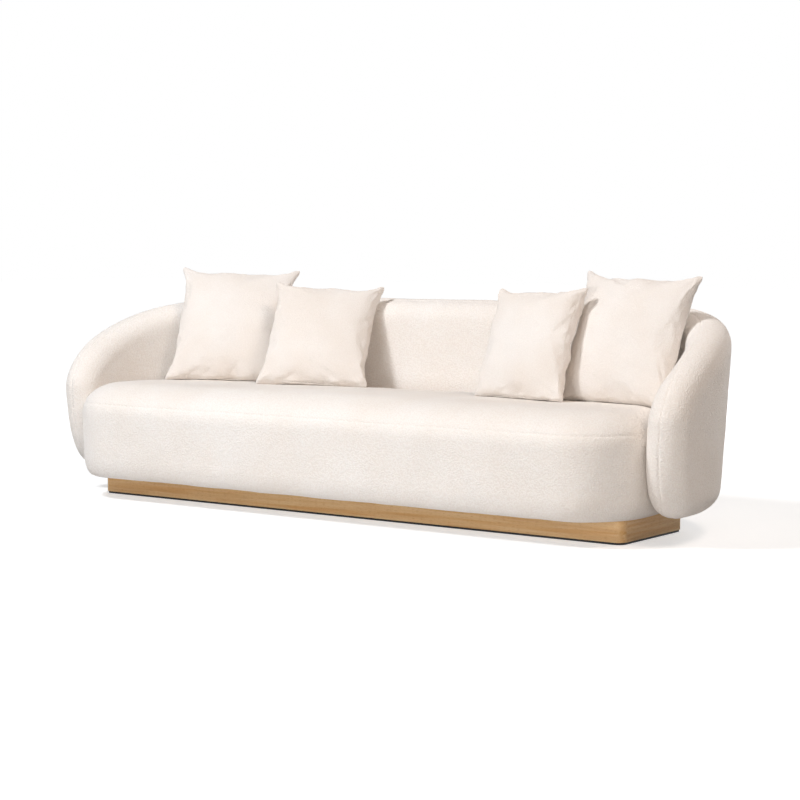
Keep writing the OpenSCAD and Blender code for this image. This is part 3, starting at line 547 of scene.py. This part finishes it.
# boucle, woven from looped yarn: a pale cloth of round nubs, matt, with a soft sheen at its edges, its colour
# painted darker in the gaps as shade and lighter on the nub tips as highlight. The Scale of each pattern is
# 1000 / its size in millimetres
def boucleCloth(name, look):
    material = emptied(bpy.data.materials.new(name))
    nub = look["nub"]
    onPiece = {"Vector": (addNode(material, "TexCoord"), "Object")}
    stray = addNode(material, "TexNoise", {"Scale": 1000 / (nub * look["stray"]), "Detail": 2.0}, onPiece)
    bent = addNode(material, "VectorMath", {
        "operation": "MULTIPLY_ADD", 1: (nub * look["strayReach"] / 1000,) * 3,
    }, {0: (stray, "Color"), 2: onPiece["Vector"]})
    nubs = addNode(material, "TexVoronoi", {"Scale": 1000 / nub, "Randomness": 0.9}, {"Vector": bent})
    nubRound = addNode(material, "MapRange", {
        "interpolation_type": "SMOOTHSTEP", "From Min": 0.75, "From Max": 0.05,
    }, {"Value": (nubs, "Distance")})
    loops = addNode(material, "TexNoise", {"Scale": 1000 / (nub * look["loop"]), "Detail": 1.0},
                    {"Vector": bent})
    clumps = addNode(material, "TexNoise", {"Scale": 1000 / (nub * look["clump"]), "Detail": 3.0}, onPiece)
    fuzz = addNode(material, "Math", {"operation": "MULTIPLY_ADD", 1: look["loopShare"]},
                   {0: loops, 2: nubRound})
    height = addNode(material, "Math", {"operation": "MULTIPLY_ADD", 1: look["clumpShare"]},
                     {0: clumps, 2: fuzz})
    # the colour follows the height of the nubs: painted shade in the gaps, the yarn's own colour, and a
    # painted highlight on the tips
    tone = addNode(material, "ValToRGB", {
        "ramp": [(0.0, look["gap"]), (0.45, look["yarn"]), (1.0, look["tip"])],
    }, {"Fac": fuzz})
    patches = addNode(material, "TexNoise", {"Scale": 1000 / look["patch"], "Detail": 2.0}, onPiece)
    wash = addNode(material, "ValToRGB", {"ramp": [(0.35, look["shade"]), (0.65, "#FFFFFF")]},
                   {"Fac": patches})
    colour = addNode(material, "Mix", {"data_type": "RGBA", "blend_type": "MULTIPLY", 0: 1.0},
                     {6: tone, 7: wash})
    bump = addNode(material, "Bump", {"Strength": look["bump"], "Distance": nub * look["relief"] / 1000},
                   {"Height": height})
    return endMaterial(material, {
        "Roughness": look["roughness"], "Specular IOR Level": 0.2, "Sheen Weight": look["sheen"],
        "Sheen Roughness": 0.55, "Sheen Tint": linearColor(look["sheenTint"]),
    }, {"Base Color": (colour, 2), "Normal": bump})


# nub is the size of a yarn loop in millimetres, drawn about half as large again as the real one so that it
# shows, patch is in millimetres, and stray, strayReach, loop, clump and relief are in nubs
boucleLook = {
    "nub": 6.0, "stray": 2.6, "strayReach": 1.1, "loop": 0.55, "clump": 4.5, "relief": 0.42, "patch": 250.0,
    "loopShare": 0.35, "clumpShare": 0.3, "bump": 0.6, "roughness": 0.92, "sheen": 0.2,
    # gap is painted shade between the nubs, yarn the cloth's own colour, and tip a painted highlight on the
    # nubs
    "gap": "#EEE7E1", "yarn": "#F4EFEA", "tip": "#F6F2EE", "shade": "#FCFAF8", "sheenTint": "#FFFAF4",
}
boucle = boucleCloth("boucleUpholstery", boucleLook)
cushionBoucle = boucleCloth("boucleCushions", {
    **boucleLook, "nub": 5.0, "bump": 0.45,
    # the same painted shade in the gaps and painted highlight on the tips, a little fainter
    "gap": "#EDE7E1", "yarn": "#EFE9E4", "tip": "#F1ECE7", "shade": "#FAF7F4",
})


# sawn and oiled wood: long streaks of early and late wood, fine dark pores and a few darker patches along the
# grain. Each pattern's Scale is 1000 / its length in millimetres, and it is stretch times as narrow as long
def grainedWood(name, look):
    material = emptied(bpy.data.materials.new(name))
    coords = addNode(material, "TexCoord")
    laid = {"Vector": addNode(material, "Mapping", {
        "Scale": [1.0 if axis == look["axis"] else look["stretch"] for axis in "XYZ"],
    }, {"Vector": (coords, "Object")})}
    bands = addNode(material, "TexNoise", {
        "Scale": 1000 / look["band"], "Detail": 5.0, "Roughness": 0.6, "Distortion": 0.35,
    }, laid)
    tone = addNode(material, "ValToRGB", {
        "ramp": [(0.28, look["dark"]), (0.5, look["middle"]), (0.72, look["light"])],
    }, {"Fac": bands})
    patches = addNode(material, "TexNoise", {"Scale": 1000 / look["patch"], "Detail": 1.0}, laid)
    stain = addNode(material, "ValToRGB", {"ramp": [(0.3, look["stain"]), (0.5, "#FFFFFF")]},
                    {"Fac": patches})
    mixed = addNode(material, "Mix", {
        "data_type": "RGBA", "blend_type": "MULTIPLY", 0: look["stainShare"],
    }, {6: tone, 7: stain})
    pores = addNode(material, "TexNoise", {"Scale": 1000 / look["pore"], "Detail": 2.0}, laid)
    holes = addNode(material, "ValToRGB", {"ramp": [(0.34, look["poreTone"]), (0.44, "#FFFFFF")]},
                    {"Fac": pores})
    colour = addNode(material, "Mix", {
        "data_type": "RGBA", "blend_type": "MULTIPLY", 0: look["poreShare"],
    }, {6: (mixed, 2), 7: holes})
    bump = addNode(material, "Bump", {"Strength": 0.25, "Distance": look["relief"] / 1000}, {"Height": pores})
    return endMaterial(material, {
        "Roughness": look["roughness"], "Specular IOR Level": 0.4, "Coat Weight": look["coat"],
        "Coat Roughness": 0.35,
    }, {"Base Color": (colour, 2), "Normal": bump})


# the oak's bands are 385 by 15 mm and its pores 19 by 0.7 mm, coarser than real ones so that they show
oakLook = {
    "axis": "X", "stretch": 26.0, "band": 384.6, "patch": 427.35, "pore": 19.425, "relief": 0.4,
    "stainShare": 0.8, "poreShare": 0.55, "roughness": 0.5, "coat": 0.06,
    "light": "#F2D09E", "middle": "#EAC28C", "dark": "#DCB07A", "stain": "#F1DFC4", "poreTone": "#C99F70",
}
oakLong = grainedWood("oiledOakAlongX", oakLook)
oakShort = grainedWood("oiledOakAlongY", {**oakLook, "axis": "Y"})
timberLook = {
    **oakLook, "stretch": 14.0, "band": 333.33, "patch": 370.37, "pore": 16.835,
    "roughness": 0.7, "coat": 0.0,
    "light": "#E6D2A8", "middle": "#D9BF90", "dark": "#C3A06C", "stain": "#EBDCC0", "poreTone": "#C8AE84",
}
spruceLong = grainedWood("sawnSpruceAlongX", timberLook)
spruceShort = grainedWood("sawnSpruceAlongY", {**timberLook, "axis": "Y"})
birchPly = grainedWood("birchPlywood", {
    **timberLook, "light": "#EBD9B8", "middle": "#DFC79E", "dark": "#CDB083",
})


# foam cut from a block: cream, open cells of about 2 mm, fully matt, with painted shade darkening the hollows
# of the cells
def cutFoam(look):
    material = emptied(bpy.data.materials.new("cutFoam"))
    coords = addNode(material, "TexCoord")
    cells = addNode(material, "TexVoronoi", {"Scale": 1000 / look["cell"]}, {"Vector": (coords, "Object")})
    # the colour follows the depth of the cells: painted shade, darker, in the hollows at their middles
    tone = addNode(material, "ValToRGB", {"ramp": look["tones"]}, {"Fac": (cells, "Distance")})
    bump = addNode(material, "Bump", {"Strength": look["bump"], "Distance": look["relief"] / 1000},
                   {"Height": (cells, "Distance")})
    return endMaterial(material, {"Roughness": 1.0, "Specular IOR Level": 0.1},
                       {"Base Color": tone, "Normal": bump})


foamMaterial = cutFoam({
    "cell": 2.0, "bump": 0.5, "relief": 0.8,
    # the first, darker tone is painted shade in the hollows of the cells
    "tones": [(0.0, "#D9C78F"), (0.5, "#F0E4B8"), (1.0, "#F5ECC8")],
})


# webbing, woven flat from rubber and yarn: near black and dull, with ribs one way and yarns across them,
# both drawn at about twice their real spacing so that they show, with painted shade in the low parts of the
# weave and a painted highlight on its raised parts
def wovenWebbing(name, look):
    material = emptied(bpy.data.materials.new(name))
    onPiece = {"Vector": (addNode(material, "TexCoord"), "Object")}
    ribs, yarns = (addNode(material, "TexWave", {
        "wave_type": "BANDS", "bands_direction": axis, "Scale": bandScale(spacing),
    }, onPiece) for axis, spacing in zip(look["axes"], look["spacings"]))
    weave = addNode(material, "Math", {"operation": "MULTIPLY"}, {0: (ribs, "Fac"), 1: (yarns, "Fac")})
    # the colour follows the height of the weave: painted shade where it is low, a painted highlight where it
    # is raised
    tone = addNode(material, "ValToRGB", {"ramp": look["tones"]}, {"Fac": weave})
    bump = addNode(material, "Bump", {"Strength": look["bump"], "Distance": look["relief"] / 1000},
                   {"Height": weave})
    return endMaterial(material, {"Roughness": 0.85, "Specular IOR Level": 0.25},
                       {"Base Color": tone, "Normal": bump})


webbingLook = {
    "axes": "XY", "spacings": (5.922, 3.948), "bump": 0.6, "relief": 0.6,  # ribs and yarns, in millimetres
    # the dark tone is painted shade in the low parts of the weave, the lighter one a painted highlight on the
    # raised parts
    "tones": [(0.0, "#1B1B1D"), (1.0, "#47454A")],
}
webbingAlongX = wovenWebbing("wovenWebbingAlongX", webbingLook)
webbingAlongY = wovenWebbing("wovenWebbingAlongY", {**webbingLook, "axes": "YX"})


# non-woven lining, bonded at small points: near black felt with a grid of pressed dots about 2.4 mm apart
def bondedLining(look):
    material = emptied(bpy.data.materials.new("bondedLining"))
    onPiece = {"Vector": (addNode(material, "TexCoord"), "Object")}
    dots = addNode(material, "TexVoronoi", {"Scale": 1000 / look["dot"], "Randomness": 0.12}, onPiece)
    fibres = addNode(material, "TexNoise", {"Scale": 1000 / look["fibre"], "Detail": 3.0}, onPiece)
    mixed = addNode(material, "Math", {"operation": "MULTIPLY_ADD", 1: look["fibreShare"]},
                    {0: fibres, 2: (dots, "Distance")})
    tone = addNode(material, "ValToRGB", {"ramp": look["tones"]}, {"Fac": mixed})
    bump = addNode(material, "Bump", {"Strength": look["bump"], "Distance": look["relief"] / 1000},
                   {"Height": mixed})
    return endMaterial(material, {"Roughness": 0.95, "Specular IOR Level": 0.15},
                       {"Base Color": tone, "Normal": bump})


lining = bondedLining({
    "dot": 2.381, "fibre": 1.1111, "fibreShare": 0.5, "bump": 0.4, "relief": 0.4,
    "tones": [(0.1, "#0E0E10"), (0.9, "#2C2B2F")],
})


# zinc-plated steel, rolled and dipped: bright grey metal with faint mottling, about 4 mm across
def zincSteel(look):
    material = emptied(bpy.data.materials.new("zincPlatedSteel"))
    coords = addNode(material, "TexCoord")
    mottle = addNode(material, "TexNoise", {"Scale": 1000 / look["mottle"], "Detail": 3.0},
                     {"Vector": (coords, "Object")})
    tone = addNode(material, "ValToRGB", {"ramp": look["tones"]}, {"Fac": mottle})
    rough = addNode(material, "MapRange", {"To Min": look["smooth"], "To Max": look["rough"]},
                    {"Value": mottle})
    return endMaterial(material, {"Metallic": 1.0}, {"Base Color": tone, "Roughness": rough})


steel = zincSteel({
    "mottle": 3.846, "smooth": 0.28, "rough": 0.42, "tones": [(0.3, "#A9ADB2"), (0.7, "#C9CCCF")],
})


# black plastic runner, extruded and cut: satin, with a fine grained surface and light scuffs
def blackRunner(look):
    material = emptied(bpy.data.materials.new("extrudedBlackPlastic"))
    onPiece = {"Vector": (addNode(material, "TexCoord"), "Object")}
    grain = addNode(material, "TexNoise", {"Scale": 1000 / look["grain"], "Detail": 2.0}, onPiece)
    scuffs = addNode(material, "TexNoise", {"Scale": 1000 / look["scuff"], "Detail": 6.0}, onPiece)
    tone = addNode(material, "ValToRGB", {"ramp": look["tones"]}, {"Fac": scuffs})
    rough = addNode(material, "MapRange", {"To Min": look["smooth"], "To Max": look["rough"]},
                    {"Value": scuffs})
    bump = addNode(material, "Bump", {"Strength": look["bump"], "Distance": look["relief"] / 1000},
                   {"Height": grain})
    return endMaterial(material, {"Specular IOR Level": 0.4},
                       {"Base Color": tone, "Roughness": rough, "Normal": bump})


runnerBlack = blackRunner({
    "grain": 1.4286, "scuff": 33.333, "smooth": 0.45, "rough": 0.7, "bump": 0.2, "relief": 0.3,
    "tones": [(0.4, "#131315"), (0.8, "#242427")],
})


# nylon zip under a cushion, moulded on a woven tape: teeth in the cloth's own white, drawn 3.2 mm apart,
# which is twice their real spacing so that they show, with painted shade, darker, between the teeth
def nylonZip(look):
    material = emptied(bpy.data.materials.new("nylonZip"))
    coords = addNode(material, "TexCoord")
    teeth = addNode(material, "TexWave", {
        "wave_type": "BANDS", "bands_direction": "X", "Scale": bandScale(look["tooth"]),
    }, {"Vector": (coords, "Object")})
    # the colour follows the height of the teeth: painted shade between them
    tone = addNode(material, "ValToRGB", {"ramp": look["tones"]}, {"Fac": (teeth, "Fac")})
    bump = addNode(material, "Bump", {"Strength": look["bump"], "Distance": look["relief"] / 1000},
                   {"Height": (teeth, "Fac")})
    return endMaterial(material, {"Roughness": 0.5, "Specular IOR Level": 0.4},
                       {"Base Color": tone, "Normal": bump})


zipNylon = nylonZip({
    # the darker tone is painted shade between the teeth
    "tooth": 3.158, "bump": 0.7, "relief": 0.6, "tones": [(0.2, "#CFC6BB"), (0.8, "#F1EBE3")],
})

nodeFinish = {
    "floor_runner": runnerBlack, "runner_screws": steel,
    "plinth_front_board": oakLong, "plinth_rear_board": oakLong,
    "plinth_left_board": oakShort, "plinth_right_board": oakShort, "plinth_corner_posts": oakLong,
    "plinth_cross_rails": spruceShort, "plinth_glue_blocks": spruceLong,
    "plinth_bolts": steel, "plinth_washers": steel, "dust_cover": lining,
    "deck_front_rail": spruceLong, "deck_rear_rail": spruceLong,
    "deck_left_rail": spruceShort, "deck_right_rail": spruceShort,
    "deck_front_corner_blocks": spruceLong, "deck_rear_corner_blocks": spruceLong,
    "deck_bearers": spruceShort, "deck_noggins": spruceLong,
    "webbing_crosswise": webbingAlongY, "webbing_lengthwise": webbingAlongX, "deck_end_boards": birchPly,
    "deck_edge_foam": foamMaterial, "seat_foam": foamMaterial, "shell_core": birchPly,
    "shell_foam_inside": foamMaterial, "shell_foam_outside": foamMaterial,
    "tie_rods": steel, "tie_rod_nuts": steel,
}
for name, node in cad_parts.items():
    finish = nodeFinish.get(name, foamMaterial)  # the fillings of the cushions take the foam
    if name.endswith("zip"):
        finish = zipNylon
    elif name.endswith("cushion_cover"):
        finish = cushionBoucle
    elif name.endswith(("cover_inside", "cover_outside", "cover_top", "cover_band")):
        finish = boucle
    node.data.materials.clear()
    node.data.materials.append(finish)
for piece in (shellCoverInside, shellCoverOutside, seatCoverTop, seatCoverBand):
    piece.data.materials.append(boucle)
for piece in cushionPieces.values():
    piece.data.materials.append(cushionBoucle)
print("stage: materials")

# the studio: soft lamps, a pale floor that keeps the shadow, and a white surround
lampAim = Vector((0, 0, 0.4))
lamps = {
    "key": {"place": (-2.1, -3.6, 5.4), "size": (1.2, 1.2), "power": 300, "colour": "#FAFCFF"},
    "rightHigh": {"place": (4.0, -1.1, 5.4), "size": (1.6, 1.6), "power": 118, "colour": "#FFEDDF"},
    "rightLow": {"place": (3.2, -4.3, 1.2), "size": (0.8, 0.8), "power": 27, "colour": "#FFF3E6"},
    "frontLow": {"place": (0.3, -4.5, 0.45), "size": (1.4, 0.4), "power": 39, "colour": "#FFFFFF"},
    "rear": {"place": (1.5, 6.0, 3.4), "size": (3.0, 3.0), "power": 190, "colour": "#FFFFFF"},
}
scene = bpy.context.scene
for name, lamp in lamps.items():
    light = bpy.data.lights.new(name, "AREA")
    light.shape = "RECTANGLE"
    light.size, light.size_y = lamp["size"]
    light.energy = lamp["power"]
    light.color = linearColor(lamp["colour"])[:3]
    holder = bpy.data.objects.new(name, light)
    holder.location = lamp["place"]
    holder.rotation_euler = (lampAim - holder.location).to_track_quat("-Z", "Y").to_euler()
    scene.collection.objects.link(holder)

cameraForm = {"lens": 90.97, "sensor": 36, "place": (4.555, -6.142, 1.030), "tilt": 4.618, "turn": 36.215}
lens = bpy.data.cameras.new("camera")
lens.lens, lens.sensor_width = cameraForm["lens"], cameraForm["sensor"]
camera = bpy.data.objects.new("camera", lens)
camera.location = cameraForm["place"]
camera.rotation_euler = Euler((math.radians(90 - cameraForm["tilt"]), 0, math.radians(cameraForm["turn"])))
scene.collection.objects.link(camera)
scene.camera = camera
scene.view_settings.view_transform = "Standard"

# the floor is matt, and a glow that only the camera and reflections see brings its open parts up to white and
# keeps the shadow. The glow rises from near to far between nearReach and farReach metres from the sofa
floorLook = {"reach": 30.0, "colour": "#D2D2D2", "near": 0.55, "far": 1.0, "nearReach": 1.9, "farReach": 4.5}
floorCorners = np.array([(-1, -1, 0), (1, -1, 0), (1, 1, 0), (-1, 1, 0)]) * floorLook["reach"]
floor = meshPiece("floor", floorCorners, [(0, 1, 2, 3)])
floorPaint = emptied(bpy.data.materials.new("mattFloor"))
matt = addNode(floorPaint, "BsdfDiffuse", {"Color": linearColor(floorLook["colour"])})
path = addNode(floorPaint, "LightPath")
seen = addNode(floorPaint, "Math", {"operation": "MAXIMUM"},
               {0: (path, "Is Camera Ray"), 1: (path, "Is Glossy Ray")})
floorSpot = addNode(floorPaint, "TexCoord")
fromSofa = addNode(floorPaint, "VectorMath", {"operation": "LENGTH"}, {0: (floorSpot, "Object")})
rising = addNode(floorPaint, "MapRange", {
    "From Min": floorLook["nearReach"], "From Max": floorLook["farReach"],
    "To Min": floorLook["near"], "To Max": floorLook["far"],
}, {"Value": (fromSofa, "Value")})
glowPower = addNode(floorPaint, "Math", {"operation": "MULTIPLY"}, {0: seen, 1: rising})
glow = addNode(floorPaint, "Emission", {"Color": (1, 1, 1, 1)}, {"Strength": glowPower})
both = addNode(floorPaint, "AddShader", links={0: matt, 1: glow})
addNode(floorPaint, "OutputMaterial", links={"Surface": both})
floor.data.materials.append(floorPaint)

# the surround is white where it is seen, and a plain soft light elsewhere
surroundLook = {"light": 0.06, "seen": 1.0}
world = emptied(bpy.data.worlds.new("surround"))
scene.world = world
skyPath = addNode(world, "LightPath")
skySeen = addNode(world, "Math", {"operation": "MAXIMUM"},
                  {0: (skyPath, "Is Camera Ray"), 1: (skyPath, "Is Glossy Ray")})
skyThrough = addNode(world, "Math", {"operation": "MAXIMUM"},
                     {0: skySeen, 1: (skyPath, "Is Transmission Ray")})
skyPower = addNode(world, "MapRange", {"To Min": surroundLook["light"], "To Max": surroundLook["seen"]},
                   {"Value": skyThrough})
sky = addNode(world, "Background", {"Color": (1, 1, 1, 1)}, {"Strength": skyPower})
addNode(world, "OutputWorld", links={"Surface": sky})
print("stage: studio")
